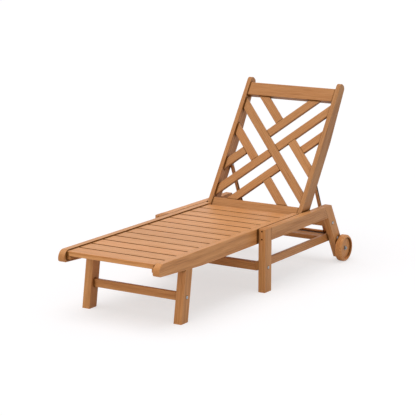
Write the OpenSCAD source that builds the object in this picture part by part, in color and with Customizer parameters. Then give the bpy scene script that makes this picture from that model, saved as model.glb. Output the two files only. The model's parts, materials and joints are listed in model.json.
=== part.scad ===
// Wheeled chaise longue with a slatted seat and a folding lattice back.
// Y runs from the foot end to the head end, X is the width and the floor is at Z = 0.

/* [Seat] */
// Height of the seat rails' top above the floor
seat_h = 325; // [300:1:350]
// Width over the outer rails and the legs behind them
frame_w = 658; // [610:1:720]
// Thickness of the seat rails and cross members
timber_t = 35; // [30:1:40]
// Depth of the seat rails
rail_d = 78; // [74:1:84]
// Height that the seat rails' underside rises towards the foot end
rail_rise = 20; // [10:1:26]
// Length of the seat rails' rising stretch
rise_l = 381; // [300:1:600]
// Radius of the seat rails' top corner at the foot end
nose_r = 42; // [20:1:42]
// Radius of the seat rails' bottom corner at the foot end
chin_r = 14; // [6:1:15]
// Gap between the seat rails and the outer frame, filled by washers
side_gap = 4; // [3:0.5:8]
// Rounding of the timbers' long edges
ease = 2.5; // [1:0.5:4]

/* [Slats] */
// Number of seat slats
slat_n = 13; // [11:1:14]
// Width of one slat
slat_w = 88.5; // [84:0.5:92]
// Thickness of one slat
slat_t = 24; // [18:1:26]
// Gap between two slats
slat_gap = 9; // [6:0.5:12]
// Distance that the slats lie below the rails' top
slat_drop = 5; // [2:1:8]
// Distance from the rails' foot end to the first slat
foot_margin = 23; // [16:1:40]
// Distance from the last slat to the rails' rear end
tail_margin = 22; // [16:1:40]
// Width of the cleats that carry the slats
cleat_w = 20; // [16:1:26]
// Height of the cleats that carry the slats
cleat_h = 16; // [12:1:18]

/* [Front legs] */
// Distance from the rails' foot end to the front legs' feet
front_leg_y = 183; // [120:1:260]
// Width of the front legs, seen from the side
front_leg_d = 59; // [50:1:70]
// Thickness of the front legs
front_leg_t = 44; // [38:1:48]
// Lean of the front legs from upright, in degrees
front_lean = 9.3; // [0:0.1:14]
// Thickness of the front stretcher
front_str_t = 20; // [18:1:30]
// Height of the front stretcher
front_str_h = 40; // [32:1:46]
// Height of the front stretcher's centre line
front_str_z = 122.5; // [110:0.5:140]

/* [Outer frame] */
// Thickness of the outer rails and of the middle and rear legs
outer_t = 39; // [34:1:44]
// Distance from the rails' foot end to the middle legs
mid_leg_y = 886; // [820:1:940]
// Width of the middle legs, seen from the side
mid_leg_d = 66; // [56:1:76]
// Depth of the outer rails
outer_d = 65; // [60:1:72]
// Distance that the outer rails' top edge reaches behind the hinge
outer_behind = 163; // [150:1:180]
// Width of the rear legs, seen from the side
rear_leg_d = 65; // [60:1:72]
// Lean of the rear legs from upright, in degrees
rear_lean = 30; // [27:0.5:33]
// Height of the rear legs' feet above the floor
rear_leg_lift = 18; // [8:1:28]
// Height of the middle stretcher's centre line
cross_z = 126; // [110:1:140]
// Height of the side stretchers' centre line
side_z = 136; // [125:1:150]
// Thickness of the side stretchers
side_t = 18; // [15:1:22]
// Height of the other stretchers and of the rear cross rail
stretcher_h = 41; // [36:1:46]
// Height of the prop board's top above the floor
board_top = 144; // [136:1:150]
// Length of the prop board behind its bolts
board_behind = 21; // [16:1:26]

/* [Back] */
// Angle of the raised back above level, in degrees
recline = 56; // [50:1:60]
// Length of the back from its hinge to its top
back_l = 784; // [740:1:830]
// Thickness of the stiles
stile_t = 25; // [22:1:30]
// Distance that the stiles stand out past the seat rails
stile_proud = 2; // [0:0.5:2]
// Depth of the stiles where their top rounding starts
stile_top_d = 54; // [48:1:66]
// Distance from the hinge to the start of the stiles' taper
taper_from = 467; // [400:1:600]
// Rounding of the stiles' top corners
stile_top_r = 22; // [12:1:23]
// Gap between the seat rails and the stiles' round lower ends
hinge_gap = 10.5; // [8:0.5:16]
// Height of the top and bottom rails of the back
back_rail_h = 75; // [70:1:82]
// Thickness of the top and bottom rails of the back
back_rail_t = 32; // [28:1:36]
// Distance from the hinge to the bottom rail's upper edge
bottom_rail_s = 51; // [46:1:60]
// Distance from the top rail's upper edge to the top of the back
crown = 37; // [34:1:60]
// Distance that the back's rails lie behind the stiles' front edges
back_rail_inset = 5; // [2:1:10]

/* [Lattice] */
// Width of the lattice bars
bar_w = 47; // [38:1:50]
// Thickness of the lattice bars
bar_t = 16; // [14:1:20]
// Distance between parallel bars, centre to centre
bar_pitch = 109; // [100:1:115]
// Distance that the bars lie behind the stiles' front edges
bar_inset = 11; // [10:0.5:14]
// Depth of the pockets that hold the bars' ends
pocket_d = 8; // [5:1:10]

/* [Prop] */
// Distance from the stiles' front edges to the prop's pivot
prop_inset = 56; // [54:1:60]
// Length of the prop arms from pivot to foot
arm_l = 382; // [350:1:420]
// Distance from the prop's feet to the rear edge of the board
foot_in = 10; // [8:1:16]
// Depth of the prop arms
arm_d = 18; // [16:1:20]
// Thickness of the prop arms
arm_t = 15; // [12:1:18]
// Gap between the prop arms and the stiles, filled by washers
arm_gap = 6; // [4:1:10]
// Radius of the dowel that joins the arms' feet
dowel_r = 7.5; // [6:0.5:8]

/* [Wheels] */
// Radius of the wheels
wheel_r = 72; // [70:1:80]
// Width of the wheels
wheel_w = 35.5; // [24:0.5:40]
// Gap between the rear legs and the wheels
wheel_gap = 4; // [3:1:16]
// Rounding of the wheels' outer edge
rim_r = 12; // [6:1:13]
// Radius of the turned recess in the wheels' outer face
dish_r = 58; // [40:1:59]
// Depth of the turned recess
dish_d = 11; // [2:0.5:14]
// Radius of the axles
axle_r = 6; // [5:0.5:8]
// Outer radius of the wheels' bushes
bush_r = 9.5; // [9:0.5:14]

/* [Hardware] */
// Radius of the frame bolts
bolt_r = 4; // [3:0.5:5]
// Radius of the frame bolts' heads
head_r = 7.5; // [7:0.5:9]
// Thickness of the frame bolts' heads
head_t = 3; // [2:0.5:4]
// Radius of the barrel nuts
nut_r = 6; // [5.5:0.5:7]
// Distance from a cross member's end to its barrel nut
nut_in = 35; // [30:1:45]
// Radius of the hinge pins
hinge_r = 6; // [5:0.5:7]
// Radius of the spacer washers
washer_r = 11; // [10:0.5:14]
// Radius of the wood screws' shanks
screw_r = 2; // [1.5:0.5:3]
// Radius of the wood screws' heads
screw_head_r = 4; // [3.5:0.5:4.5]

/* [Fits] */
// Gap round a tenon, a bar end or a bolt in its hole
fit = 0.2; // [0.1:0.05:0.4]
// Radial clearance of a turning pin
running = 0.08; // [0.04:0.01:0.1]
// Gap between faces that turn past each other
face_gap = 0.3; // [0.2:0.1:0.6]
// Gap between the prop arms and the rear cross rail
arm_clear = 2; // [1:0.5:4]
// Gap between the folded back and the rear cross rail
rest_gap = 0.5; // [0.3:0.1:2]

/* [Hidden] */
$fn = 48;
teak = [0.72, 0.47, 0.27];
teak_top = [0.80, 0.55, 0.36];
teak_dark = [0.62, 0.39, 0.20];
steel = [0.62, 0.66, 0.70];
nylon = [0.22, 0.20, 0.18];

// Planes across the width, measured from the middle
frame_out = frame_w / 2;
frame_in = frame_out - outer_t;
rail_out = frame_in - side_gap;
rail_in = rail_out - timber_t;
rail_mid = rail_out - timber_t / 2;
outer_mid = frame_out - outer_t / 2;
front_leg_in = rail_out - front_leg_t;
side_in = frame_in - side_t;
stile_out = rail_out + stile_proud;
stile_in = stile_out - stile_t;
arm_out = stile_in - arm_gap;
arm_in = arm_out - arm_t;

// Seat
slat_top = seat_h - slat_drop;
slat_pitch = slat_w + slat_gap;
slats_end = foot_margin + slat_n * slat_pitch - slat_gap;
rail_l = slats_end + tail_margin;
rail_bottom = seat_h - rail_d;
rail_low = rail_bottom + rail_rise;
nose = min(nose_r, rail_d - rail_rise - chin_r - 1);
cleat_z = slat_top - slat_t - cleat_h;
end_gap = 0.5;

// Frame joinery
tenon_t = 12;
tenon_l = 25;
tenon_shoulder = 12;
front_tenon_w = 34;

// Hinge of the back, at half the stiles' depth so that the back folds flush with the seat
hinge_v = rail_d / 2;
hinge_y = rail_l + hinge_gap + hinge_v;
hinge_z = seat_h - hinge_v;
hinge_in = 15;

// Middle and rear legs
mid_leg_end = mid_leg_y + mid_leg_d;
mid_leg_mid = mid_leg_y + mid_leg_d / 2;
outer_end = hinge_y + outer_behind;
outer_bottom = seat_h - outer_d;
rear_leg_span = rear_leg_d / cos(rear_lean);
function rear_front(z) = outer_end + (seat_h - z) * tan(rear_lean);
function rear_mid(z) = rear_front(z) + rear_leg_span / 2;
function rear_back(z) = rear_front(z) + rear_leg_span;

// Front legs
front_leg_span = front_leg_d / cos(front_lean);
function front_mid(z) = front_leg_y + front_leg_span / 2 + z * tan(front_lean);

// Back
top_rail_s = back_l - crown;
panel_low = bottom_rail_s;
panel_high = top_rail_s - back_rail_h;
panel_mid = (panel_low + panel_high) / 2;
panel_h = panel_high - panel_low;
panel_w = 2 * stile_in;
back_rail_v = hinge_v - back_rail_inset - back_rail_t / 2;
bar_v = hinge_v - bar_inset - bar_t;
bar_reach = panel_w + panel_h;

// Prop board, bolted between the rear legs, and the prop's feet on it
board_z = board_top - slat_t / 2;
board_end = rear_mid(board_z) + board_behind;
foot_y = board_end - foot_in;
foot_z = board_top + arm_d / 2 + face_gap;
foot_s = (foot_y - hinge_y) * cos(recline) + (foot_z - hinge_z) * sin(recline);
foot_v = (foot_z - hinge_z) * cos(recline) - (foot_y - hinge_y) * sin(recline);

// Prop, whose pivot lies where its arms reach the raised stiles
prop_v = hinge_v - prop_inset;
prop_s = foot_s + sqrt(pow(arm_l, 2) - pow(foot_v - prop_v, 2));
prop_y = hinge_y + prop_s * cos(recline) - prop_v * sin(recline);
prop_z = hinge_z + prop_s * sin(recline) + prop_v * cos(recline);
arm_lean = acos((prop_z - foot_z) / arm_l);
pivot_in = 16;

// Cross rail under the folded back, in front of the raised prop's arms
cross_rail_top = seat_h - rail_d - rest_gap;
cross_rail_z = cross_rail_top - stretcher_h / 2;
arm_face = prop_y + (prop_z - cross_rail_top) * tan(arm_lean) - arm_d / 2 / cos(arm_lean);
cross_rail_y = arm_face - arm_clear - timber_t / 2;

// Wheels
wheel_y = rear_mid(wheel_r);
wheel_x = frame_out + wheel_gap;
hub_end = wheel_x + wheel_w - dish_d;
axle_head_t = 4;
axle_washer_t = 1.5;
axle_washer_r = bush_r + 1.5;
cap_l = 8;
cap_r = axle_r + 2;

// Fasteners
nut_cover = 4;
bolt_tip = 3;
rail_bolt_depth = 20;
rail_bolts = [
    [mid_leg_mid, rail_bottom + 15],
    [rail_l - 36, cleat_z - head_r - 1]
];
screw_l = 30;
leg_screw_l = 90;
leg_screw_sink = 14;
leg_screw_bore_r = screw_head_r + 0.7;
leg_screw_drops = [11, 52];
cone_h = 3;

// Each frame bolt: head plane, member's end plane, y, z and member's height
frame_joints = [
    [rail_out, front_leg_in, front_mid(front_str_z), front_str_z, front_str_h],
    [frame_out, side_in, mid_leg_mid, cross_z, stretcher_h],
    [frame_out, frame_in, cross_rail_y, cross_rail_z, stretcher_h],
    [frame_out, side_in, rear_mid(board_z), board_z, slat_t]
];

// Lattice bars: name, whether it rises to the right, offset from the centre, and its two ends,
// all measured along the bars' own directions
near = bar_w / 2;
far = bar_pitch + bar_w / 2;
lattice = [
    ["lattice_main_falling", false, 0, -bar_reach, bar_reach],
    ["lattice_main_rising", true, 0, -bar_reach, bar_reach],
    ["lattice_top_rising", true, bar_pitch, near, bar_reach],
    ["lattice_top_falling", false, bar_pitch, far, bar_reach],
    ["lattice_left_falling", false, -bar_pitch, near, bar_reach],
    ["lattice_left_rising", true, bar_pitch, -bar_reach, -far],
    ["lattice_bottom_rising", true, -bar_pitch, -bar_reach, -near],
    ["lattice_bottom_falling", false, -bar_pitch, -bar_reach, -far],
    ["lattice_right_falling", false, bar_pitch, -bar_reach, -near],
    ["lattice_right_rising", true, -bar_pitch, far, bar_reach]
];

// The origin lies under the middle of the whole length, on the floor
back_rear = hinge_y + (back_l - stile_top_r) * cos(recline)
    - (hinge_v - stile_top_d + stile_top_r) * sin(recline) + stile_top_r;
rear_end = max(back_rear, rear_back(rear_leg_lift), wheel_y + wheel_r);
origin_y = rear_end / 2;

function slat_name(i) = str("slat_", i < 10 ? "0" : "", i);

// Shaping helpers

function unit(v) = v / norm(v);
function at(c, i) = let (p = c[(i + len(c)) % len(c)]) [p[0], p[1]];
function to_last(c, i) = unit(at(c, i - 1) - at(c, i));
function to_next(c, i) = unit(at(c, i + 1) - at(c, i));
function half_angle(c, i) = acos(to_last(c, i) * to_next(c, i)) / 2;
function round_ends(c, i) = let (t = c[i][2] / tan(half_angle(c, i)))
    t > 0 ? [at(c, i) + to_last(c, i) * t, at(c, i) + to_next(c, i) * t] : [at(c, i)];
function round_centre(c, i) =
    at(c, i) + unit(to_last(c, i) + to_next(c, i)) * c[i][2] / sin(half_angle(c, i));

// Convex outline of corners given as [x, y, radius]
module outline(corners) {
    polygon([for (i = [0:len(corners) - 1]) each round_ends(corners, i)]);
    for (i = [0:len(corners) - 1])
        if (corners[i][2] > 0)
            translate(round_centre(corners, i))
                circle(corners[i][2]);
}

// Rectangle centred on the origin with rounded corners
module eased(w, h, r = ease) {
    outline([[-w / 2, -h / 2, r], [w / 2, -h / 2, r], [w / 2, h / 2, r], [-w / 2, h / 2, r]]);
}

// Extrudes a side view, drawn in Y and Z, across the width
module across(x0, x1) {
    translate([x0, 0, 0])
        rotate([90, 0, 90])
            linear_extrude(x1 - x0)
                children();
}

// Extrudes an end view, drawn in X and Z, along the length
module lengthwise(y0, y1) {
    translate([0, y1, 0])
        rotate([90, 0, 0])
            linear_extrude(y1 - y0)
                children();
}

// Extrudes a section, drawn in X and Y, up a leaning line that starts on the floor
module leaning(y, angle) {
    translate([0, y, 0])
        rotate([angle, 0, 0])
            translate([0, 0, -seat_h])
                linear_extrude(3 * seat_h)
                    children();
}

// Cylinder across the width, from x0 to x1
module rod(x0, x1, y, z, r) {
    translate([x0, y, z])
        rotate([0, 90, 0])
            cylinder(h = x1 - x0, r = r);
}

// Ring across the width, from x0 to x1
module ring(x0, x1, y, z, r, bore_r) {
    difference() {
        rod(x0, x1, y, z, r);
        rod(x0 - 1, x1 + 1, y, z, bore_r);
    }
}

module both_sides() {
    children();
    mirror([1, 0, 0])
        children();
}

module on_left() {
    mirror([1, 0, 0])
        children();
}

// Moves the whole model so that its middle lies over the origin
module in_frame() {
    translate([0, -origin_y, 0])
        children();
}

// Frame of the back: Y runs up the back from the hinge, Z points out of its front
module on_back() {
    translate([0, hinge_y, hinge_z])
        rotate([recline, 0, 0])
            children();
}

// Frame of the prop: its arms run down Z from the pivot
module on_prop() {
    translate([0, prop_y, prop_z])
        rotate([arm_lean, 0, 0])
            children();
}

// Fasteners and the holes that they need

// Bolt along Z with its head below the origin and a six-sided socket
module bolt(l, r, big_r, t) {
    difference() {
        union() {
            cylinder(h = l, r = r);
            translate([0, 0, -t / 2])
                cylinder(h = t / 2, r = big_r);
            translate([0, 0, -t])
                cylinder(h = t / 2, r1 = big_r - t / 3, r2 = big_r);
        }
        translate([0, 0, -t - 1])
            cylinder(h = 1 + 0.6 * t, r = r * 0.75, $fn = 6);
    }
}

// Bolt through the plane x, pointing inwards when dir is -1
module bolt_across(x, y, z, dir, l, r = bolt_r, big_r = head_r, t = head_t) {
    translate([x, y, z])
        rotate([0, 90 * dir, 0])
            bolt(l, r, big_r, t);
}

function joint_bolt_l(j) = j[0] - j[1] + nut_in + nut_r + bolt_tip;

module frame_bolt_holes() {
    both_sides()
        for (j = frame_joints)
            rod(j[0] - joint_bolt_l(j) - 1, j[0] + 1, j[2], j[3], bolt_r + fit);
}

module barrel(j, r, z0, z1) {
    translate([j[1] - nut_in, j[2], z0])
        cylinder(h = z1 - z0, r = r);
}

module barrel_holes() {
    both_sides()
        for (j = frame_joints)
            barrel(j, nut_r + fit, j[3] - j[4] / 2 - 1, j[3] + j[4] / 2 - nut_cover + fit);
}

module rail_bolt_holes() {
    for (b = rail_bolts)
        rod(rail_in - 1, frame_in + rail_bolt_depth + 1, b[0], b[1], bolt_r + fit);
}

// Wood screw along Z with its head's face at the origin
module screw(l, gap = 0) {
    cylinder(h = l + gap, r = screw_r + gap);
    cylinder(h = cone_h, r1 = screw_head_r + gap, r2 = screw_r + gap);
}

// Places a screw under the cleats for one slat
module under_slat(i) {
    both_sides()
        translate([rail_in - cleat_w / 2, foot_margin + (i - 0.5) * slat_pitch - slat_gap / 2, cleat_z])
            children();
}

// Places a screw in the middle leg's front face, pointing along the outer rail
module leg_screw_places() {
    for (drop = leg_screw_drops)
        translate([outer_mid, mid_leg_y, seat_h - drop])
            rotate([-90, 0, 0])
                children();
}

module leg_screw_holes() {
    leg_screw_places() {
        translate([0, 0, -1])
            cylinder(h = leg_screw_sink + 1, r = leg_screw_bore_r);
        translate([0, 0, leg_screw_sink])
            screw(leg_screw_l, fit);
    }
}

// Seat

module rail_side_view() {
    translate([nose, seat_h - nose])
        intersection() {
            circle(nose);
            translate([-nose, 0])
                square(nose);
        }
    translate([chin_r, rail_low + chin_r])
        circle(chin_r);
    polygon([
        [0, rail_low + chin_r],
        [chin_r, rail_low],
        [rise_l, rail_bottom],
        [rail_l, rail_bottom],
        [rail_l, seat_h],
        [nose, seat_h],
        [0, seat_h - nose]
    ]);
}

module below_rail() {
    polygon([
        [0, 0],
        [rail_l, 0],
        [rail_l, rail_bottom],
        [rise_l, rail_bottom],
        [chin_r, rail_low]
    ]);
}

module front_tenon(gap = 0) {
    intersection() {
        leaning(front_mid(0), -front_lean)
            translate([rail_mid, 0])
                square([tenon_t + 2 * gap, front_tenon_w + 2 * gap], center = true);
        across(0, frame_w)
            translate([0, rail_bottom - 10])
                square([rail_l, 10 + rail_d / 2 + gap]);
    }
}

module seat_rail() {
    color(teak)
        difference() {
            intersection() {
                across(rail_in, rail_out)
                    rail_side_view();
                lengthwise(-1, rail_l + 1)
                    translate([rail_mid, seat_h - rail_d / 2])
                        eased(timber_t, rail_d);
            }
            front_tenon(fit);
            rail_bolt_holes();
        }
}

module slat_cleat() {
    color(teak_dark)
        difference() {
            lengthwise(foot_margin, slats_end)
                translate([rail_in - cleat_w / 2, cleat_z + cleat_h / 2])
                    square([cleat_w, cleat_h], center = true);
            for (i = [1:slat_n])
                under_slat(i)
                    screw(screw_l, fit);
        }
}

module slat(i) {
    color(teak_top)
        difference() {
            across(-rail_in + end_gap, rail_in - end_gap)
                translate([foot_margin + (i - 0.5) * slat_pitch - slat_gap / 2, slat_top - slat_t / 2])
                    eased(slat_w, slat_t);
            under_slat(i)
                screw(screw_l, fit);
        }
}

// Legs and outer frame

module front_leg() {
    color(teak)
        difference() {
            union() {
                intersection() {
                    leaning(front_mid(0), -front_lean)
                        translate([rail_out - front_leg_t / 2, 0])
                            eased(front_leg_t, front_leg_d);
                    across(0, frame_w)
                        below_rail();
                }
                front_tenon();
            }
            frame_bolt_holes();
        }
}

module middle_leg() {
    color(teak)
        difference() {
            translate([outer_mid, mid_leg_mid, 0])
                linear_extrude(seat_h)
                    eased(outer_t, mid_leg_d);
            frame_bolt_holes();
            rail_bolt_holes();
            leg_screw_holes();
        }
}

module outer_tenon(gap = 0) {
    low = outer_bottom + tenon_shoulder - gap;
    high = seat_h - tenon_shoulder + gap;
    across(outer_mid - tenon_t / 2 - gap, outer_mid + tenon_t / 2 + gap)
        polygon([
            [rear_front(low) - 5, low],
            [rear_front(low) + tenon_l + gap, low],
            [rear_front(high) + tenon_l + gap, high],
            [rear_front(high) - 5, high]
        ]);
}

module outer_rail() {
    color(teak)
        difference() {
            union() {
                intersection() {
                    across(frame_in, frame_out)
                        polygon([
                            [mid_leg_end, outer_bottom],
                            [rear_front(outer_bottom), outer_bottom],
                            [rear_front(seat_h), seat_h],
                            [mid_leg_end, seat_h]
                        ]);
                    lengthwise(mid_leg_end - 1, rear_front(0))
                        translate([outer_mid, seat_h - outer_d / 2])
                            eased(outer_t, outer_d);
                }
                outer_tenon();
            }
            leg_screw_holes();
            rail_bolt_holes();
            rod(frame_in - 1, frame_in + rail_bolt_depth, hinge_y, hinge_z, hinge_r + running);
        }
}

module rear_leg() {
    color(teak)
        difference() {
            intersection() {
                leaning(rear_mid(0), rear_lean)
                    translate([outer_mid, 0])
                        eased(outer_t, rear_leg_d);
                across(0, frame_w)
                    translate([mid_leg_end, rear_leg_lift])
                        square([rear_back(0), seat_h - rear_leg_lift]);
            }
            outer_tenon(fit);
            frame_bolt_holes();
            rod(frame_in - 1, frame_out + 1, wheel_y, wheel_r, axle_r + fit);
        }
}

module side_stretcher() {
    color(teak_dark)
        difference() {
            lengthwise(mid_leg_y, rear_back(side_z + stretcher_h / 2))
                translate([side_in + side_t / 2, side_z])
                    eased(side_t, stretcher_h);
            frame_bolt_holes();
        }
}

// Member across the width between two planes, with its bolt and nut holes
module cross_member(half_l, y, z, d, h) {
    color(teak_dark)
        difference() {
            across(-half_l, half_l)
                translate([y, z])
                    eased(d, h);
            frame_bolt_holes();
            barrel_holes();
        }
}

module front_stretcher() {
    cross_member(front_leg_in, front_mid(front_str_z), front_str_z, front_str_t, front_str_h);
}

module middle_stretcher() {
    cross_member(side_in, mid_leg_mid, cross_z, timber_t, stretcher_h);
}

module rear_cross_rail() {
    cross_member(frame_in, cross_rail_y, cross_rail_z, timber_t, stretcher_h);
}

module prop_board() {
    cross_member(side_in, board_end - slat_w / 2, board_z, slat_w, slat_t);
}

// Hardware of the frame

module frame_bolts() {
    color(steel)
        both_sides() {
            for (j = frame_joints)
                bolt_across(j[0], j[2], j[3], -1, joint_bolt_l(j));
            for (b = rail_bolts)
                bolt_across(rail_in, b[0], b[1], 1, timber_t + side_gap + rail_bolt_depth);
        }
}

module barrel_nuts() {
    color(steel)
        difference() {
            both_sides()
                for (j = frame_joints)
                    barrel(j, nut_r, j[3] - j[4] / 2 + nut_cover, j[3] + j[4] / 2 - nut_cover);
            frame_bolt_holes();
        }
}

module spacer_washers() {
    cap_x = hub_end + face_gap;
    color(steel)
        both_sides() {
            for (b = rail_bolts)
                ring(rail_out, frame_in, b[0], b[1], washer_r, bolt_r + fit);
            ring(stile_out + face_gap, frame_in, hinge_y, hinge_z, washer_r, hinge_r + running);
            ring(frame_out, wheel_x - face_gap, wheel_y, wheel_r, bush_r + 4, axle_r + fit);
            ring(cap_x, cap_x + axle_washer_t, wheel_y, wheel_r, axle_washer_r, axle_r + fit);
        }
}

module wood_screws() {
    color(steel) {
        for (i = [1:slat_n])
            under_slat(i)
                screw(screw_l);
        both_sides()
            leg_screw_places()
                translate([0, 0, leg_screw_sink])
                    screw(leg_screw_l);
    }
}

module hinge_pins() {
    color(steel)
        both_sides()
            rod(stile_out - hinge_in + 1, frame_in + rail_bolt_depth - 1, hinge_y, hinge_z, hinge_r);
}

module axles() {
    color(steel)
        both_sides()
            bolt_across(frame_in, wheel_y, wheel_r, 1,
                hub_end - frame_in + face_gap + axle_washer_t + cap_l - 2,
                axle_r, cap_r, axle_head_t);
}

module axle_caps() {
    cap_x = hub_end + face_gap + axle_washer_t;
    color(steel)
        both_sides()
            difference() {
                translate([cap_x, wheel_y, wheel_r])
                    rotate([0, 90, 0])
                        union() {
                            cylinder(h = cap_l / 2, r = cap_r);
                            cylinder(h = cap_l, r = cap_r - cap_l / 2);
                            translate([0, 0, cap_l / 2])
                                rotate_extrude()
                                    translate([cap_r - cap_l / 2, 0])
                                        intersection() {
                                            circle(cap_l / 2);
                                            square(cap_l);
                                        }
                        }
                rod(cap_x - 1, cap_x + cap_l - 2 + fit, wheel_y, wheel_r, axle_r + running);
            }
}

// Back

// The taper ends at the lowest point of the rear top rounding
module stile_side_view() {
    rear_v = hinge_v - stile_top_d;
    circle(hinge_v);
    for (v = [rear_v + stile_top_r, hinge_v - stile_top_r])
        translate([back_l - stile_top_r, v])
            circle(stile_top_r);
    polygon([
        [0, -hinge_v],
        [taper_from, -hinge_v],
        [back_l - stile_top_r, rear_v],
        [back_l, rear_v + stile_top_r],
        [back_l, hinge_v - stile_top_r],
        [back_l - stile_top_r, hinge_v],
        [0, hinge_v]
    ]);
}

// One lattice bar, drawn in the plane of the panel and cut by its window
module bar_view(bar, gap, window) {
    w = bar_w + 2 * gap;
    l = bar[4] - bar[3];
    intersection() {
        rotate(45)
            if (bar[1])
                translate([bar[3], bar[2] - w / 2])
                    square([l, w]);
            else
                translate([bar[2] - w / 2, bar[3]])
                    square([w, l]);
        square([panel_w + 2 * window, panel_h + 2 * window], center = true);
    }
}

module bar_solid(bar, gap, window, v0, v1) {
    translate([0, panel_mid, v0])
        linear_extrude(v1 - v0)
            bar_view(bar, gap, window);
}

// Pockets that take the ends of all bars
module bar_pockets() {
    for (bar = lattice)
        bar_solid(bar, fit, pocket_d, bar_v - fit, bar_v + bar_t + fit);
}

// The falling main bar crosses in front of the rising one in a half lap
module lattice_bar(bar) {
    is_main = bar[2] == 0;
    lap_v = bar_v + bar_t / 2;
    other = lattice[bar[1] ? 0 : 1];
    color(teak_dark)
        on_back()
            difference() {
                bar_solid(bar, 0, pocket_d - fit, bar_v, bar_v + bar_t);
                if (is_main && bar[1])
                    bar_solid(other, fit, 0, lap_v - fit / 2, bar_v + bar_t + 1);
                if (is_main && !bar[1])
                    bar_solid(other, fit, 0, bar_v - 1, lap_v + fit / 2);
            }
}

module back_tenons(s, gap = 0) {
    across(-stile_in - tenon_l / 2 - gap, stile_in + tenon_l / 2 + gap)
        translate([s, back_rail_v])
            square([back_rail_h - 2 * tenon_shoulder + 2 * gap, tenon_t + 2 * gap], center = true);
}

// Rail across the back whose upper edge is at s
module back_rail(s) {
    color(teak)
        on_back()
            difference() {
                union() {
                    across(-stile_in, stile_in)
                        translate([s - back_rail_h / 2, back_rail_v])
                            eased(back_rail_h, back_rail_t);
                    back_tenons(s - back_rail_h / 2);
                }
                bar_pockets();
            }
}

module back_stile() {
    color(teak)
        on_back()
            difference() {
                across(stile_in, stile_out)
                    stile_side_view();
                bar_pockets();
                back_tenons(bottom_rail_s - back_rail_h / 2, fit);
                back_tenons(top_rail_s - back_rail_h / 2, fit);
                rod(stile_out - hinge_in, stile_out + 1, 0, 0, hinge_r + running);
                rod(stile_in - 1, stile_in + pivot_in + fit, prop_s, prop_v, bolt_r + fit);
            }
}

// Prop

module prop_pivots() {
    color(steel)
        on_back()
            both_sides() {
                bolt_across(arm_in - face_gap, prop_s, prop_v, 1, stile_in + pivot_in - arm_in + face_gap);
                ring(arm_out + face_gap, stile_in, prop_s, prop_v, arm_d / 2, bolt_r + fit);
            }
}

module prop_arm() {
    color(teak_dark)
        on_prop()
            difference() {
                across(arm_in, arm_out) {
                    translate([-arm_d / 2, -arm_l])
                        square([arm_d, arm_l]);
                    circle(arm_d / 2);
                    translate([0, -arm_l])
                        circle(arm_d / 2);
                }
                rod(arm_in - 1, arm_out + 1, 0, 0, bolt_r + running);
                rod(arm_in - 1, arm_out + 1, 0, -arm_l, dowel_r + fit / 2);
            }
}

module prop_dowel() {
    color(teak_dark)
        on_prop()
            rod(-arm_out, arm_out, 0, -arm_l, dowel_r);
}

// Wheels

module wheel() {
    color(teak)
        difference() {
            translate([wheel_x, wheel_y, wheel_r])
                rotate([0, 90, 0])
                    rotate_extrude($fn = 96)
                        outline([
                            [0, 0, 0],
                            [wheel_r, 0, ease],
                            [wheel_r, wheel_w, rim_r],
                            [0, wheel_w, 0]
                        ]);
            rod(hub_end, wheel_x + wheel_w + 1, wheel_y, wheel_r, dish_r);
            rod(wheel_x - 1, hub_end + 1, wheel_y, wheel_r, bush_r + fit / 2);
        }
}

module wheel_bush() {
    color(nylon)
        ring(wheel_x, hub_end, wheel_y, wheel_r, bush_r, axle_r + running);
}

in_frame() {
    seat_rail();  // seat_rail_right
    on_left() seat_rail();  // seat_rail_left
    slat_cleat();  // slat_cleat_right
    on_left() slat_cleat();  // slat_cleat_left
    outer_rail();  // outer_rail_right
    on_left() outer_rail();  // outer_rail_left
    front_leg();  // front_leg_right
    on_left() front_leg();  // front_leg_left
    middle_leg();  // middle_leg_right
    on_left() middle_leg();  // middle_leg_left
    rear_leg();  // rear_leg_right
    on_left() rear_leg();  // rear_leg_left
    side_stretcher();  // side_stretcher_right
    on_left() side_stretcher();  // side_stretcher_left
    front_stretcher();
    middle_stretcher();
    rear_cross_rail();
    prop_board();
    for (i = [1:slat_n])
        slat(i);
    frame_bolts();
    barrel_nuts();
    spacer_washers();
    wood_screws();
    hinge_pins();
    axles();
    axle_caps();
    back_stile();  // back_stile_right
    on_left() back_stile();  // back_stile_left
    back_rail(top_rail_s);  // back_top_rail
    back_rail(bottom_rail_s);  // back_bottom_rail
    for (bar = lattice)
        lattice_bar(bar);
    prop_pivots();
    prop_arm();  // prop_arm_right
    on_left() prop_arm();  // prop_arm_left
    prop_dowel();
    wheel();  // wheel_right
    on_left() wheel();  // wheel_left
    wheel_bush();  // wheel_bush_right
    on_left() wheel_bush();  // wheel_bush_left
}
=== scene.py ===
"""Finishes the wheeled chaise longue: oiled timber, satin steel, dark bushes and a studio.

Everything is in metres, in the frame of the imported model: X across the width, -Y towards the
foot end, Z up from the floor. The script keeps the model's own solids and gives each a finish.
"""

import json
import math
import random

import bpy
from mathutils import Matrix, Vector


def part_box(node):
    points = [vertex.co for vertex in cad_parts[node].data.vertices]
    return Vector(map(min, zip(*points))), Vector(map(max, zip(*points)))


bl_info = {
    "name": "Wheeled chaise longue",
    "version": (1, 0, 0),
    "blender": (4, 5, 0),
    "location": "3D View > Sidebar > Lounger",
    "description": "Finishes the timber and hardware of a slatted chaise longue and lights it",
    "category": "Object",
}

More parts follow.
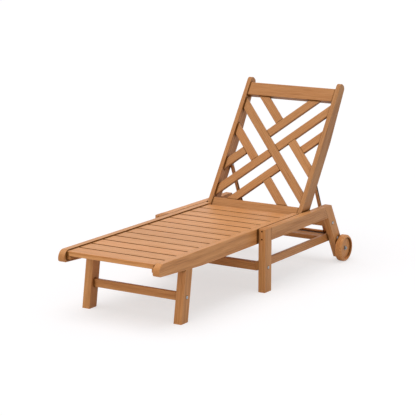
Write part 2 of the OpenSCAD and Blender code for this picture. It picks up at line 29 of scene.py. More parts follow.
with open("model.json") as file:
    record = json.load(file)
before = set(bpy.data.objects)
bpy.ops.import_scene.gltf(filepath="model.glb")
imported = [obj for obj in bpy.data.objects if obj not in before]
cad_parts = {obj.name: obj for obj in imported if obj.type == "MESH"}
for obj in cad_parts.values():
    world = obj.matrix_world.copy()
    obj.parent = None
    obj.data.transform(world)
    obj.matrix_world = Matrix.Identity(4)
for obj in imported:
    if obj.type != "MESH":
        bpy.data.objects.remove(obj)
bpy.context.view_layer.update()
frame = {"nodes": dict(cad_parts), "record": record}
NODES = frame["nodes"]

# The back lies flat at the low end of its hinge, so that end gives its slope at rest
RECLINE = next(joint for joint in frame["record"]["behaviour"]["joints"]
               if joint["name"] == "back_recline")
BACK_SLOPE = math.radians(-RECLINE["range_deg"][0])
# How far the tops of the legs lean towards the head end
FRONT_LEAN = math.radians(9.3)
REAR_LEAN = math.radians(-30)

# Directions that the grain runs in
ACROSS = Vector((1, 0, 0))
LENGTHWISE = Vector((0, 1, 0))
UPRIGHT = Vector((0, 0, 1))
UP_BACK = Vector((0, math.cos(BACK_SLOPE), math.sin(BACK_SLOPE)))
FRONT_LEG = Vector((0, math.sin(FRONT_LEAN), math.cos(FRONT_LEAN)))
REAR_LEG = Vector((0, math.sin(REAR_LEAN), math.cos(REAR_LEAN)))

# Length of the log that the boards are cut from, and their usual distance from its pith
LOG_LENGTH = 6.0
PITH = 0.09
# Distance between two rings of the wave texture at a scale of 1
WAVE_PITCH = 2 * math.pi / 20
# How many times longer than wide the rings' waves are along the grain
RING_STRETCH = 4.0
# What the rings, the fibres and the clouds each add to the figure of the timber
RING_SHARE = 0.16
FIBRE_SHARE = 0.86
CLOUD_SHARE = 0.16
# Where the body colour lies between the vein colour and the pale colour
BODY_STOP = 0.48
# How much of the vein colour the pores and the end grain take
PORE_DEPTH = 0.30
END_DEPTH = 0.45
# Roughness that dark fibres, pale fibres and end grain add to the timber's own
DARK_FIBRE_ROUGH = 0.10
PALE_FIBRE_ROUGH = -0.06
END_ROUGH = 0.4
# Depth of the pores against the relief of the fibres
PORE_SINK = 1.5
# How much of the variety in tone goes into warmer and cooler boards
WARMTH_SHARE = 0.35
# Colour of the painted shade that the timber fades to in its deepest gaps and corners, and on the
# back's downward faces
PAINTED_SHADE_COLOUR = (0.150, 0.055, 0.008)

# Roughness that the brushing takes or adds, and that tarnish adds at most
BRUSH_ROUGH = 0.08
TARNISH_ROUGH = 0.3
# Height of the marks on steel and nylon
FINE_RELIEF = 0.0001
# Marks to the metre on the bushes, and their dark and rubbed tones against the usual one
MOTTLE_SCALE = 900
MOTTLE_DARK = 0.7
MOTTLE_RUBBED = 1.8
MOTTLE_ROUGH = (0.5, 0.7)

# Span of a texture, a direction or an occlusion over which each mask goes from none to full
MOST_NOISE = (0.3, 0.7)
FIGURE_SPAN = (0.35, 0.81)
PORE_SPAN = (0.60, 0.72)
PATCH_SPAN = (0.52, 0.72)
MOTTLE_SPAN = (0.35, 0.65)
END_FACING = (0.75, 0.95)
DOWN_FACING = (-0.25, -0.65)
EDGE_FACING = (0.99, 0.80)
GAP_SPAN = (0.84, 0.50)
SEAM_SPAN = (0.99, 0.86)

# Corners this near are one, faces this level are one, and edges this sharp are rounded
JOIN_DISTANCE = 1e-5
FLAT_ANGLE = math.radians(0.2)
SHARP_ANGLE = math.radians(40)
ROUND_STEPS = 2

WHITE = (1, 1, 1, 1)
# Width of the camera's sensor in millimetres, and how far the camera sees
SENSOR_WIDTH = 36
SIGHT = 500


# Colours and sizes that a user may change


class TimberFinish(bpy.types.PropertyGroup):
    """Oiled hardwood of the frame, slats, back, prop and wheels"""

    body: bpy.props.FloatVectorProperty(
        name="Body colour", description="Usual colour of the timber", subtype="COLOR",
        size=3, min=0, max=1, default=(0.647, 0.284, 0.090))
    pale: bpy.props.FloatVectorProperty(
        name="Pale colour", description="Colour of the palest growth rings", subtype="COLOR",
        size=3, min=0, max=1, default=(0.768, 0.378, 0.141))
    vein: bpy.props.FloatVectorProperty(
        name="Vein colour", description="Colour of the darkest veins", subtype="COLOR",
        size=3, min=0, max=1, default=(0.444, 0.168, 0.045))
    ring_gap: bpy.props.FloatProperty(
        name="Ring gap", description="Distance between two growth rings", unit="LENGTH",
        min=0.001, max=0.03, default=0.0075)
    fibre_length: bpy.props.FloatProperty(
        name="Fibre length", description="Length of the streaks along the grain", unit="LENGTH",
        min=0.01, max=0.5, default=0.14)
    fibre_width: bpy.props.FloatProperty(
        name="Fibre width", description="Width of the streaks along the grain", unit="LENGTH",
        min=0.0005, max=0.02, default=0.0030)
    pore_length: bpy.props.FloatProperty(
        name="Pore length", description="Length of the dark pores along the grain", unit="LENGTH",
        min=0.001, max=0.1, default=0.014)
    pore_width: bpy.props.FloatProperty(
        name="Pore width", description="Width of the dark pores", unit="LENGTH",
        min=0.0001, max=0.005, default=0.0006)
    cloud_length: bpy.props.FloatProperty(
        name="Cloud length", description="Length of the broad changes in tone", unit="LENGTH",
        min=0.05, max=2, default=0.45)
    cloud_width: bpy.props.FloatProperty(
        name="Cloud width", description="Width of the broad changes in tone", unit="LENGTH",
        min=0.01, max=0.5, default=0.05)
    variety: bpy.props.FloatProperty(
        name="Variety", description="Difference in tone between the boards", subtype="FACTOR",
        min=0, max=1, default=0.06)
    # The seat, back and wheel tones are painted light and shade: they draw the slats and wheels
    # brighter and the back darker than the lamps alone make them
    seat_painted_light: bpy.props.FloatProperty(
        name="Seat tone", description="Brightness of the slats' timber against the frame's",
        min=0.5, max=1.5, default=1.08)
    back_painted_shade: bpy.props.FloatProperty(
        name="Back tone", description="Brightness of the back's timber against the frame's",
        min=0.5, max=1.5, default=0.81)
    wheel_painted_light: bpy.props.FloatProperty(
        name="Wheel tone", description="Brightness of the wheels' timber against the frame's",
        min=0.5, max=1.5, default=1.11)
    # Painted shade on the back's downward faces
    painted_underside_shade: bpy.props.FloatProperty(
        name="Underside", description="How much darker the back's downward faces are",
        subtype="FACTOR", min=0, max=1, default=0.50)
    # The timber's paler edges are partly wear and partly a painted highlight on the rounded edges
    edge_lightening: bpy.props.FloatProperty(
        name="Edge wear", description="How much paler the worn edges are", subtype="FACTOR",
        min=0, max=1, default=0.15)
    worn_width: bpy.props.FloatProperty(
        name="Worn width", description="Reach of the wear from an edge", unit="LENGTH",
        min=0.0005, max=0.01, default=0.003)
    roughness: bpy.props.FloatProperty(
        name="Roughness", description="Roughness of the oiled surface", subtype="FACTOR",
        min=0, max=1, default=0.40)
    lustre: bpy.props.FloatProperty(
        name="Lustre", description="How much the oiled surface reflects", subtype="FACTOR",
        min=0, max=1, default=0.27)
    relief: bpy.props.FloatProperty(
        name="Relief", description="Height of the raised grain", unit="LENGTH",
        min=0, max=0.002, default=0.00035)
    # Strength and reach of the painted shade in gaps and corners
    crevice_shade: bpy.props.FloatProperty(
        name="Crevice darkness", description="How much darker the timber is in gaps and corners",
        subtype="FACTOR", min=0, max=1, default=0.90)
    crevice_reach: bpy.props.FloatProperty(
        name="Crevice reach", description="Width of the gaps that darken", unit="LENGTH",
        min=0.001, max=0.05, default=0.028)
    groove: bpy.props.FloatProperty(
        name="Groove", description="Reach of the shadow between the slats", unit="LENGTH",
        min=0.001, max=0.05, default=0.014)
    lap: bpy.props.FloatProperty(
        name="Lap", description="Reach of the shadow in the joints of the back", unit="LENGTH",
        min=0.001, max=0.05, default=0.008)
    joint: bpy.props.FloatProperty(
        name="Joint", description="Reach of the shadow in the joints of the frame", unit="LENGTH",
        min=0.001, max=0.05, default=0.004)
    arris: bpy.props.FloatProperty(
        name="Arris", description="Width of the eased edges of the back and the prop",
        unit="LENGTH", min=0.0002, max=0.004, default=0.0026)


class HardwareFinish(bpy.types.PropertyGroup):
    """Bolts, pins, washers, axles and caps, and the wheels' bushes"""

    metal: bpy.props.FloatVectorProperty(
        name="Metal colour", description="Colour of the satin steel", subtype="COLOR",
        size=3, min=0, max=1, default=(0.430, 0.455, 0.470))
    tarnish: bpy.props.FloatVectorProperty(
        name="Tarnish colour", description="Colour of the weathered patches", subtype="COLOR",
        size=3, min=0, max=1, default=(0.240, 0.240, 0.235))
    worn: bpy.props.FloatVectorProperty(
        name="Worn colour", description="Colour of the steel on its worn edges", subtype="COLOR",
        size=3, min=0, max=1, default=(0.80, 0.82, 0.85))
    weathering: bpy.props.FloatProperty(
        name="Weathering", description="How much the weathered patches cover", subtype="FACTOR",
        min=0, max=1, default=0.6)
    edge_lightening: bpy.props.FloatProperty(
        name="Edge wear", description="How much brighter the worn edges are", subtype="FACTOR",
        min=0, max=1, default=0.4)
    worn_width: bpy.props.FloatProperty(
        name="Worn width", description="Reach of the wear from an edge", unit="LENGTH",
        min=0.0001, max=0.005, default=0.0006)
    brush_length: bpy.props.FloatProperty(
        name="Brush length", description="Length of the brush marks", unit="LENGTH",
        min=0.001, max=0.1, default=0.012)
    brush_width: bpy.props.FloatProperty(
        name="Brush width", description="Width of the brush marks", unit="LENGTH",
        min=0.0001, max=0.005, default=0.0008)
    patch: bpy.props.FloatProperty(
        name="Patch size", description="Size of the weathered patches", unit="LENGTH",
        min=0.001, max=0.05, default=0.006)
    roughness: bpy.props.FloatProperty(
        name="Metal roughness", description="Roughness of the brushed steel", subtype="FACTOR",
        min=0, max=1, default=0.32)
    cap_tone: bpy.props.FloatProperty(
        name="Cap tone", description="Brightness of the axle caps against the bolts",
        min=0, max=1.5, default=0.62)
    bush: bpy.props.FloatVectorProperty(
        name="Bush colour", description="Colour of the wheels' bushes", subtype="COLOR",
        size=3, min=0, max=1, default=(0.045, 0.042, 0.040))


class StudioSettings(bpy.types.PropertyGroup):
    """Floor, light and camera"""

    floor: bpy.props.FloatVectorProperty(
        name="Floor colour", description="Colour of the pale floor", subtype="COLOR",
        size=3, min=0, max=1, default=(0.70, 0.70, 0.70))
    floor_size: bpy.props.FloatProperty(
        name="Floor size", description="Length of each side of the floor", unit="LENGTH",
        min=10, max=200, default=120)
    shade: bpy.props.FloatProperty(
        name="Shadow strength", description="Depth of the shadow on the floor", subtype="FACTOR",
        min=0, max=1, default=0.66)
    glow: bpy.props.FloatProperty(
        name="Floor glow", description="Brightness that the floor is lifted to where it is seen",
        min=0, max=3, default=1.78)
    sky: bpy.props.FloatProperty(
        name="Room light", description="Strength of the even light from all round",
        min=0, max=2, default=0.42)
    overhead: bpy.props.FloatProperty(
        name="Overhead light", description="Strength of the wide light overhead",
        min=0, max=10, default=1.39)
    overhead_tint: bpy.props.FloatVectorProperty(
        name="Overhead tint", description="Colour of the wide light overhead", subtype="COLOR",
        size=3, min=0, max=1, default=(1.0, 0.95, 1.0))
    overhead_spread: bpy.props.FloatProperty(
        name="Overhead spread", description="Angle that the overhead light seems to fill",
        subtype="ANGLE", unit="ROTATION", min=0, max=math.pi, default=math.radians(60))
    overhead_turn: bpy.props.FloatVectorProperty(
        name="Overhead turn", description="Turn of the overhead light from straight down",
        subtype="EULER", unit="ROTATION", size=3,
        default=(math.radians(8), math.radians(-6), 0))
    front: bpy.props.FloatProperty(
        name="Front light", description="Strength of the wide light at the foot end",
        min=0, max=10, default=0.45)
    front_tint: bpy.props.FloatVectorProperty(
        name="Front tint", description="Colour of the wide light at the foot end",
        subtype="COLOR", size=3, min=0, max=1, default=(1.0, 1.0, 1.0))
    front_spread: bpy.props.FloatProperty(
        name="Front spread", description="Angle that the front light seems to fill",
        subtype="ANGLE", unit="ROTATION", min=0, max=math.pi, default=math.radians(50))
    front_turn: bpy.props.FloatVectorProperty(
        name="Front turn", description="Turn of the front light from straight down",
        subtype="EULER", unit="ROTATION", size=3, default=(math.radians(70), 0, 0))
    bearing: bpy.props.FloatProperty(
        name="Camera bearing", description="Turn of the camera round the lounger from its foot end",
        subtype="ANGLE", unit="ROTATION", default=math.radians(32.05))
    elevation: bpy.props.FloatProperty(
        name="Camera elevation", description="Angle that the camera looks down by",
        subtype="ANGLE", unit="ROTATION", default=math.radians(12.06))
    standpoint: bpy.props.FloatVectorProperty(
        name="Camera place", description="Where the camera stands", subtype="TRANSLATION",
        size=3, default=(4.280, -6.858, 2.124))
    lens: bpy.props.FloatProperty(
        name="Lens", description="Focal length of the camera in millimetres",
        min=10, max=400, default=141.2)


# Materials


def add(tree, kind, inputs=None, **settings):
    """Adds a node to the tree, sets its settings, and fills or joins its inputs."""
    made = tree.nodes.new(kind)
    for name, value in settings.items():
        setattr(made, name, value)
    for key, value in (inputs or {}).items():
        if isinstance(value, bpy.types.NodeSocket):
            tree.links.new(value, made.inputs[key])
        else:
            made.inputs[key].default_value = value
    return made


def colour(rgb, tone=1.0):
    """An opaque colour, tone times as bright."""
    return (rgb[0] * tone, rgb[1] * tone, rgb[2] * tone, 1)


def new_material(name):
    """A material with only its output, its tree and that output."""
    material = bpy.data.materials.new(name)
    material.use_nodes = True
    tree = material.node_tree
    tree.nodes.clear()
    return material, tree, add(tree, "ShaderNodeOutputMaterial")


def stretched(tree, vector, lengths):
    """The vector measured in units of the given lengths along its axes."""
    scale = [1 / length for length in lengths]
    return add(tree, "ShaderNodeVectorMath", {0: vector, 1: scale}, operation="MULTIPLY").outputs[0]


def mixed(tree, factor, a, b, blend="MIX"):
    """The colour a with b blended over it."""
    made = add(tree, "ShaderNodeMix", {0: factor, 6: a, 7: b}, data_type="RGBA", blend_type=blend)
    return made.outputs[2]


def ranged(tree, value, span, to_low=0.0, to_high=1.0):
    """The value's place in the span, from to_low at its start to to_high at its end."""
    inputs = {0: value, 1: span[0], 2: span[1], 3: to_low, 4: to_high}
    return add(tree, "ShaderNodeMapRange", inputs, clamp=True).outputs[0]


def maths(tree, operation, a, b):
    return add(tree, "ShaderNodeMath", {0: a, 1: b}, operation=operation).outputs[0]


def edge_mask(tree, reach):
    """1 on sharp edges, 0 on flat faces."""
    rounded = add(tree, "ShaderNodeBevel", {"Radius": reach}, samples=4)
    flat = add(tree, "ShaderNodeNewGeometry")
    inputs = {0: rounded.outputs["Normal"], 1: flat.outputs["Normal"]}
    facing = add(tree, "ShaderNodeVectorMath", inputs, operation="DOT_PRODUCT")
    return ranged(tree, facing.outputs["Value"], EDGE_FACING)


def painted_shade_mask(tree, reach, seam):
    """1 where shade is painted, deep in a gap or a corner of width reach or in a joint of width
    seam, and 0 in the open.
    """
    gap = add(tree, "ShaderNodeAmbientOcclusion", {"Distance": reach}, samples=8)
    joint = add(tree, "ShaderNodeAmbientOcclusion", {"Distance": seam}, samples=8)
    return maths(tree, "MAXIMUM", ranged(tree, gap.outputs["AO"], GAP_SPAN),
                 ranged(tree, joint.outputs["AO"], SEAM_SPAN))


def grain_frame(grain):
    """Rotation whose X axis runs along the grain."""
    side = UPRIGHT if abs(grain.z) < 0.9 else LENGTHWISE
    out = grain.cross(side).normalized()
    up = out.cross(grain).normalized()
    return Matrix((grain, up, out)).transposed().to_euler()


def timber_material(name, grain, finish, draw, seam, shade=1.0, painted_underside_shade=0.0):
    """Oiled wood with growth rings, fibres, pores, darker end grain, edges paled by wear and a
    painted highlight, and painted shade in its gaps and corners.

    draw gives this board its own cut of the log and its own tone, near shade times the usual one; a
    shade above 1 is painted light and below 1 painted shade on the whole group.
    seam is the width of the joints where shade is painted.
    The last argument is how much of its colour a face that looks straight down loses to painted
    shade.
    """
    material, tree, output = new_material(name)
    place = [draw.uniform(-LOG_LENGTH / 2, LOG_LENGTH / 2),
             PITH * draw.uniform(0.7, 1.5), PITH * draw.uniform(-1, 1)]
    tone = shade * (1 + finish.variety * draw.uniform(-1, 1))
    warmth = 1 + finish.variety * WARMTH_SHARE * draw.uniform(-1, 1)

    coords = add(tree, "ShaderNodeTexCoord")
    inputs = {"Vector": coords.outputs["Object"], "Location": place, "Rotation": grain_frame(grain)}
    along = add(tree, "ShaderNodeMapping", inputs, vector_type="TEXTURE").outputs[0]

    width = finish.fibre_width
    fibre = add(tree, "ShaderNodeTexNoise", {
        "Vector": stretched(tree, along, (finish.fibre_length, width, width)),
        "Scale": 1, "Detail": 3, "Roughness": 0.62}).outputs["Fac"]
    width = finish.pore_width
    pores = add(tree, "ShaderNodeTexNoise", {
        "Vector": stretched(tree, along, (finish.pore_length, width, width)),
        "Scale": 1, "Detail": 1, "Roughness": 0.5}).outputs["Fac"]
    width = finish.cloud_width
    cloud = add(tree, "ShaderNodeTexNoise", {
        "Vector": stretched(tree, along, (finish.cloud_length, width, width)),
        "Scale": 1, "Detail": 2, "Roughness": 0.5}).outputs["Fac"]
    rings = add(tree, "ShaderNodeTexWave", {
        "Vector": stretched(tree, along, (RING_STRETCH, 1, 1)),
        "Scale": WAVE_PITCH / finish.ring_gap,
        "Distortion": 5.0, "Detail": 2, "Detail Scale": 0.25, "Detail Roughness": 0.5},
        wave_type="RINGS", rings_direction="X", wave_profile="SIN").outputs["Fac"]

    figure = 0.0
    for part, share in ((rings, RING_SHARE), (fibre, FIBRE_SHARE), (cloud, CLOUD_SHARE)):
        figure = maths(tree, "ADD", maths(tree, "MULTIPLY", part, share), figure)

    ramp = add(tree, "ShaderNodeValToRGB", {0: ranged(tree, figure, FIGURE_SPAN)})
    stops = ramp.color_ramp
    stops.elements[0].color = colour(finish.vein)
    stops.elements[1].color = colour(finish.pale)
    stops.elements.new(BODY_STOP).color = colour(finish.body)
    base = ramp.outputs["Color"]

    pored = ranged(tree, pores, PORE_SPAN, 0.0, PORE_DEPTH)
    base = mixed(tree, pored, base, colour(finish.vein))
    inputs = {0: coords.outputs["Normal"], 1: grain}
    end = add(tree, "ShaderNodeVectorMath", inputs, operation="DOT_PRODUCT").outputs["Value"]
    end = ranged(tree, maths(tree, "ABSOLUTE", end, 0), END_FACING, 0.0, END_DEPTH)
    base = mixed(tree, end, base, colour(finish.vein))
    # Paler edges, partly wear and partly a painted highlight
    worn = maths(tree, "MULTIPLY", edge_mask(tree, finish.worn_width), finish.edge_lightening)
    base = mixed(tree, worn, base, colour(finish.pale))
    # Painted shade on the faces that look down
    facing = add(tree, "ShaderNodeSeparateXYZ", {0: coords.outputs["Normal"]}).outputs["Z"]
    base = mixed(tree, ranged(tree, facing, DOWN_FACING, 0.0, painted_underside_shade), base, colour(PAINTED_SHADE_COLOUR))
    shift = (tone * warmth, tone, tone / warmth, 1)
    base = mixed(tree, 1.0, base, shift, "MULTIPLY")
    # The painted shade of gaps and corners stays off the feet and wheels where the floor alone
    # shuts them in
    height = add(tree, "ShaderNodeSeparateXYZ", {0: coords.outputs["Object"]}).outputs["Z"]
    reach = finish.crevice_reach
    off_floor = ranged(tree, height, (reach / 2, reach), 0.0, finish.crevice_shade)
    painted_shade = maths(tree, "MULTIPLY", painted_shade_mask(tree, reach, seam), off_floor)
    base = mixed(tree, painted_shade, base, colour(PAINTED_SHADE_COLOUR))

    rough = ranged(tree, fibre, MOST_NOISE, finish.roughness + DARK_FIBRE_ROUGH,
                   finish.roughness + PALE_FIBRE_ROUGH)
    rough = maths(tree, "ADD", rough, maths(tree, "MULTIPLY", end, END_ROUGH))
    raised = maths(tree, "SUBTRACT", fibre, maths(tree, "MULTIPLY", pored, PORE_SINK))
    bump = add(tree, "ShaderNodeBump", {
        "Height": raised, "Strength": 0.55, "Distance": finish.relief}).outputs["Normal"]
    # The painted shade also takes the reflection out of the gaps and corners
    shader = add(tree, "ShaderNodeBsdfPrincipled", {
        "Base Color": base, "Roughness": rough, "Normal": bump, "IOR": 1.48,
        "Specular IOR Level": ranged(tree, painted_shade, (0.0, 1.0), finish.lustre, 0.0)})
    tree.links.new(shader.outputs[0], output.inputs["Surface"])
    return material


def satin_steel(name, finish, tone=1.0):
    """Brushed steel with a few weathered patches, tone times the usual brightness."""
    material, tree, output = new_material(name)
    coords = add(tree, "ShaderNodeTexCoord").outputs["Object"]
    width, patch = finish.brush_width, finish.patch
    brushed = add(tree, "ShaderNodeTexNoise", {
        "Vector": stretched(tree, coords, (finish.brush_length, width, width)),
        "Scale": 1, "Detail": 2}).outputs["Fac"]
    patches = add(tree, "ShaderNodeTexNoise", {
        "Vector": stretched(tree, coords, (patch, patch, patch)),
        "Scale": 1, "Detail": 4}).outputs["Fac"]
    weathered = ranged(tree, patches, PATCH_SPAN, 0.0, finish.weathering)
    base = mixed(tree, weathered, colour(finish.metal, tone), colour(finish.tarnish, tone))
    worn = maths(tree, "MULTIPLY", edge_mask(tree, finish.worn_width), finish.edge_lightening)
    base = mixed(tree, worn, base, colour(finish.worn))
    rough = ranged(tree, brushed, MOST_NOISE, finish.roughness - BRUSH_ROUGH,
                   finish.roughness + BRUSH_ROUGH)
    rough = maths(tree, "ADD", rough, maths(tree, "MULTIPLY", weathered, TARNISH_ROUGH))
    bump = add(tree, "ShaderNodeBump", {
        "Height": brushed, "Strength": 0.2, "Distance": FINE_RELIEF}).outputs["Normal"]
    shader = add(tree, "ShaderNodeBsdfPrincipled", {
        "Base Color": base, "Metallic": 0.9, "Roughness": rough, "Normal": bump})
    tree.links.new(shader.outputs[0], output.inputs["Surface"])
    return material


def moulded_nylon(name, finish):
    """The wheels' bushes: matt dark plastic with fine rubbed marks."""
    material, tree, output = new_material(name)
    coords = add(tree, "ShaderNodeTexCoord").outputs["Object"]
    mottle = add(tree, "ShaderNodeTexNoise", {
        "Vector": coords, "Scale": MOTTLE_SCALE, "Detail": 3}).outputs["Fac"]
    marks = ranged(tree, mottle, MOTTLE_SPAN)
    base = mixed(tree, marks, colour(finish.bush, MOTTLE_DARK), colour(finish.bush))
    worn = edge_mask(tree, finish.worn_width)
    base = mixed(tree, worn, base, colour(finish.bush, MOTTLE_RUBBED))
    rough = ranged(tree, mottle, MOST_NOISE, *MOTTLE_ROUGH)
    bump = add(tree, "ShaderNodeBump", {
        "Height": mottle, "Strength": 0.3, "Distance": FINE_RELIEF}).outputs["Normal"]
    shader = add(tree, "ShaderNodeBsdfPrincipled", {
        "Base Color": base, "Roughness": rough, "Normal": bump})
    tree.links.new(shader.outputs[0], output.inputs["Surface"])
    return material


# Finishing the model's solids


def solids(*starts):
    """The names of the model's solids that start with any of these words."""
    names = sorted(name for name in NODES if name.startswith(starts))
    if not names:
        raise RuntimeError(f"the model has no solid called {starts}")
    return names


def coat(solid, material):
    """Gives a solid this material alone."""
    mesh = NODES[solid].data
    mesh.materials.clear()
    mesh.materials.append(material)


def ease_edges(solid, width):
    """Rounds the sharp edges that the model leaves on a solid."""
    piece = NODES[solid]
    weld = piece.modifiers.new("join", "WELD")
    weld.merge_threshold = JOIN_DISTANCE
    flat = piece.modifiers.new("flatten", "DECIMATE")
    flat.decimate_type = "DISSOLVE"
    flat.angle_limit = FLAT_ANGLE
    bevel = piece.modifiers.new("ease", "BEVEL")
    bevel.width = width
    bevel.segments = ROUND_STEPS
    bevel.limit_method = "ANGLE"
    bevel.angle_limit = SHARP_ANGLE
    bevel.use_clamp_overlap = False


def finish_timber(context, cuts, seam, shade=1.0, painted_underside_shade=0.0):
    """Coats each solid named in cuts with timber whose grain runs in its own direction."""
    finish = context.scene.lounger_timber
    for start, grain in cuts:
        for solid in solids(start):
            draw = random.Random("timber " + solid)
            name = "oiled_timber_" + solid
            coat(solid, timber_material(name, grain, finish, draw, seam, shade, painted_underside_shade))


class LOUNGER_OT_frame(bpy.types.Operator):
    """Finish the rails, legs, stretchers and the prop's board"""

    bl_idname = "lounger.frame"
    bl_label = "Frame and legs"

    def execute(self, context):
        timber = context.scene.lounger_timber
        finish_timber(context, [("seat_rail", LENGTHWISE)], timber.groove)
        finish_timber(context, [
            ("slat_cleat", LENGTHWISE),
            ("outer_rail", LENGTHWISE),
            ("side_stretcher", LENGTHWISE),
            ("front_leg", FRONT_LEG),
            ("middle_leg", UPRIGHT),
            ("rear_leg", REAR_LEG),
            ("front_stretcher", ACROSS),
            ("middle_stretcher", ACROSS),
            ("rear_cross_rail", ACROSS),
            ("prop_board", ACROSS),
        ], timber.joint)
        return {"FINISHED"}


class LOUNGER_OT_slats(bpy.types.Operator):
    """Finish the seat slats, each cut from another board"""

    bl_idname = "lounger.slats"
    bl_label = "Seat slats"

    def execute(self, context):
        timber = context.scene.lounger_timber
        finish_timber(context, [("slat_0", ACROSS), ("slat_1", ACROSS)],
                      timber.groove, timber.seat_painted_light)
        return {"FINISHED"}


class LOUNGER_OT_back(bpy.types.Operator):
    """Finish the back's stiles and rails and ease the stiles' edges"""

    bl_idname = "lounger.back"
    bl_label = "Back frame"

    def execute(self, context):
        timber = context.scene.lounger_timber
        finish_timber(context, [
            ("back_stile", UP_BACK),
            ("back_top_rail", ACROSS),
            ("back_bottom_rail", ACROSS),
        ], timber.lap, timber.back_painted_shade, timber.painted_underside_shade)
        for stile in solids("back_stile"):
            ease_edges(stile, timber.arris)
        return {"FINISHED"}


class LOUNGER_OT_lattice(bpy.types.Operator):
    """Finish the crossing lattice bars and ease their edges"""

    bl_idname = "lounger.lattice"
    bl_label = "Lattice"

    def execute(self, context):
        timber = context.scene.lounger_timber
        rising = (ACROSS + UP_BACK).normalized()
        falling = (ACROSS - UP_BACK).normalized()
        bars = solids("lattice")
        finish_timber(context, [
            (bar, rising if bar.endswith("rising") else falling) for bar in bars
        ], timber.lap, timber.back_painted_shade, timber.painted_underside_shade)
        for bar in bars:
            ease_edges(bar, timber.arris)
        return {"FINISHED"}


class LOUNGER_OT_prop(bpy.types.Operator):
    """Finish the prop's arms and the dowel at their feet"""

    bl_idname = "lounger.prop"
    bl_label = "Prop"

    def execute(self, context):
        timber = context.scene.lounger_timber
        low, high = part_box("prop_arm_right")
        lean = Vector((0, high.y - low.y, low.z - high.z)).normalized()
        finish_timber(context, [("prop_arm", lean), ("prop_dowel", ACROSS)], timber.joint)
        for arm in solids("prop_arm"):
            ease_edges(arm, timber.arris)
        return {"FINISHED"}


class LOUNGER_OT_wheels(bpy.types.Operator):
    """Finish the turned wheels and their bushes"""

    bl_idname = "lounger.wheels"
    bl_label = "Wheels"

    def execute(self, context):
        timber = context.scene.lounger_timber
        finish_timber(context, [("wheel_left", UP_BACK), ("wheel_right", UP_BACK)],
                      timber.joint, timber.wheel_painted_light)
        nylon = moulded_nylon("moulded_nylon", context.scene.lounger_hardware)
        for bush in solids("wheel_bush"):
            coat(bush, nylon)
        return {"FINISHED"}


class LOUNGER_OT_hardware(bpy.types.Operator):
    """Finish the bolts, screws, nuts, washers, pins, axles and caps"""

    bl_idname = "lounger.hardware"
    bl_label = "Hardware"

    def execute(self, context):
        finish = context.scene.lounger_hardware
        steel = satin_steel("satin_steel", finish)
        for solid in solids("frame_bolts", "barrel_nuts", "spacer_washers", "wood_screws",
                            "hinge_pins", "axles", "prop_pivots"):
            coat(solid, steel)
        # The axle caps, deep in the wheels' dishes, are drawn darker than the bolts
        coat("axle_caps", satin_steel("darker_steel", finish, finish.cap_tone))
        return {"FINISHED"}


# Stage


def seen_directly(tree):
    """1 for what the camera sees, in metal or through glass too, and 0 for the light it gives."""
    ray = add(tree, "ShaderNodeLightPath").outputs
    mirrored = maths(tree, "MAXIMUM", ray["Is Glossy Ray"], ray["Is Transmission Ray"])
    return maths(tree, "MAXIMUM", ray["Is Camera Ray"], mirrored)


def floor_material(settings):
    """Matt pale floor that keeps the shadow and looks white round it."""
    material, tree, output = new_material("pale_floor")
    matt = add(tree, "ShaderNodeBsdfDiffuse", {"Color": colour(settings.floor)}).outputs[0]
    lit = add(tree, "ShaderNodeEmission", {"Color": WHITE, "Strength": settings.glow}).outputs[0]
    share = maths(tree, "MULTIPLY", seen_directly(tree), 1 - settings.shade)
    mix = add(tree, "ShaderNodeMixShader", {0: share, 1: matt, 2: lit})
    tree.links.new(mix.outputs[0], output.inputs["Surface"])
    return material


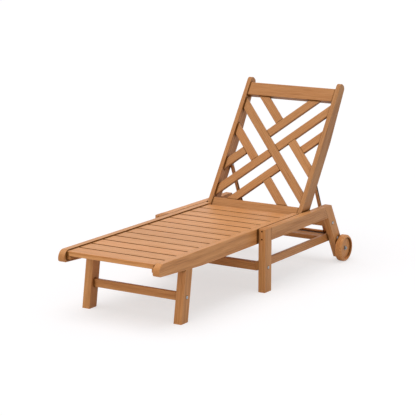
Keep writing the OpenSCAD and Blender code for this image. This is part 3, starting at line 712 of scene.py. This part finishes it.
class LOUNGER_OT_studio(bpy.types.Operator):
    """Lay the floor, set the lights and stand the camera at the photograph's angle"""

    bl_idname = "lounger.studio"
    bl_label = "Studio"

    def execute(self, context):
        settings = context.scene.lounger_studio
        self.stand_camera(context, settings)
        self.lay_floor(context, settings)
        self.hang_light(context, "overhead_light", settings.overhead, settings.overhead_tint,
                        settings.overhead_spread, settings.overhead_turn)
        self.hang_light(context, "front_light", settings.front, settings.front_tint,
                        settings.front_spread, settings.front_turn)
        self.fill_room(context, settings)
        context.scene.view_settings.view_transform = "Standard"
        return {"FINISHED"}

    def stand_camera(self, context, settings):
        data = bpy.data.cameras.new("studio_camera")
        data.sensor_width = SENSOR_WIDTH
        data.lens = settings.lens
        data.clip_end = SIGHT
        camera = bpy.data.objects.new("studio_camera", data)
        context.scene.collection.objects.link(camera)
        turn, tilt = settings.bearing, settings.elevation
        back = Vector((math.sin(turn) * math.cos(tilt), -math.cos(turn) * math.cos(tilt),
                       math.sin(tilt)))
        camera.location = settings.standpoint
        camera.rotation_mode = "QUATERNION"
        camera.rotation_quaternion = (-back).to_track_quat("-Z", "Y")
        context.scene.camera = camera

    def lay_floor(self, context, settings):
        half = settings.floor_size / 2
        corners = [(-half, -half, 0), (half, -half, 0), (half, half, 0), (-half, half, 0)]
        mesh = bpy.data.meshes.new("studio_floor")
        mesh.from_pydata(corners, [], [(0, 1, 2, 3)])
        mesh.materials.append(floor_material(settings))
        floor = bpy.data.objects.new("studio_floor", mesh)
        context.scene.collection.objects.link(floor)

    def hang_light(self, context, name, strength, tint, spread, turn):
        lamp = bpy.data.lights.new(name, "SUN")
        lamp.energy = strength
        lamp.color = tint
        lamp.angle = spread
        light = bpy.data.objects.new(name, lamp)
        light.rotation_euler = turn
        context.scene.collection.objects.link(light)

    def fill_room(self, context, settings):
        world = bpy.data.worlds.new("studio_room")
        world.use_nodes = True
        tree = world.node_tree
        tree.nodes.clear()
        strength = maths(tree, "MAXIMUM", seen_directly(tree), settings.sky)
        room = add(tree, "ShaderNodeBackground", {"Color": WHITE, "Strength": strength})
        output = add(tree, "ShaderNodeOutputWorld")
        tree.links.new(room.outputs[0], output.inputs["Surface"])
        context.scene.world = world


class LOUNGER_PT_sidebar(bpy.types.Panel):
    """Lists what finishes the lounger, piece by piece"""

    bl_idname = "LOUNGER_PT_sidebar"
    bl_label = "Lounger"
    bl_space_type = "VIEW_3D"
    bl_region_type = "UI"
    bl_category = "Lounger"

    def draw(self, context):
        for operator in OPERATORS:
            self.layout.operator(operator.bl_idname)
        for pointer in SETTINGS:
            owner = getattr(context.scene, pointer)
            box = self.layout.box()
            for name in owner.bl_rna.properties.keys():
                if name not in ("rna_type", "name"):
                    box.prop(owner, name)


OPERATORS = (
    LOUNGER_OT_studio,
    LOUNGER_OT_frame,
    LOUNGER_OT_slats,
    LOUNGER_OT_back,
    LOUNGER_OT_lattice,
    LOUNGER_OT_prop,
    LOUNGER_OT_wheels,
    LOUNGER_OT_hardware,
)
SETTINGS = {
    "lounger_timber": TimberFinish,
    "lounger_hardware": HardwareFinish,
    "lounger_studio": StudioSettings,
}


def register():
    for group in SETTINGS.values():
        bpy.utils.register_class(group)
    for name, group in SETTINGS.items():
        setattr(bpy.types.Scene, name, bpy.props.PointerProperty(type=group))
    for operator in OPERATORS:
        bpy.utils.register_class(operator)
    bpy.utils.register_class(LOUNGER_PT_sidebar)


def unregister():
    bpy.utils.unregister_class(LOUNGER_PT_sidebar)
    for operator in reversed(OPERATORS):
        bpy.utils.unregister_class(operator)
    for name, group in SETTINGS.items():
        delattr(bpy.types.Scene, name)
        bpy.utils.unregister_class(group)


def main():
    register()
    bpy.ops.lounger.studio()
    bpy.ops.lounger.frame()
    bpy.ops.lounger.slats()
    bpy.ops.lounger.back()
    bpy.ops.lounger.lattice()
    bpy.ops.lounger.prop()
    bpy.ops.lounger.wheels()
    bpy.ops.lounger.hardware()


if __name__ == "__main__":
    main()
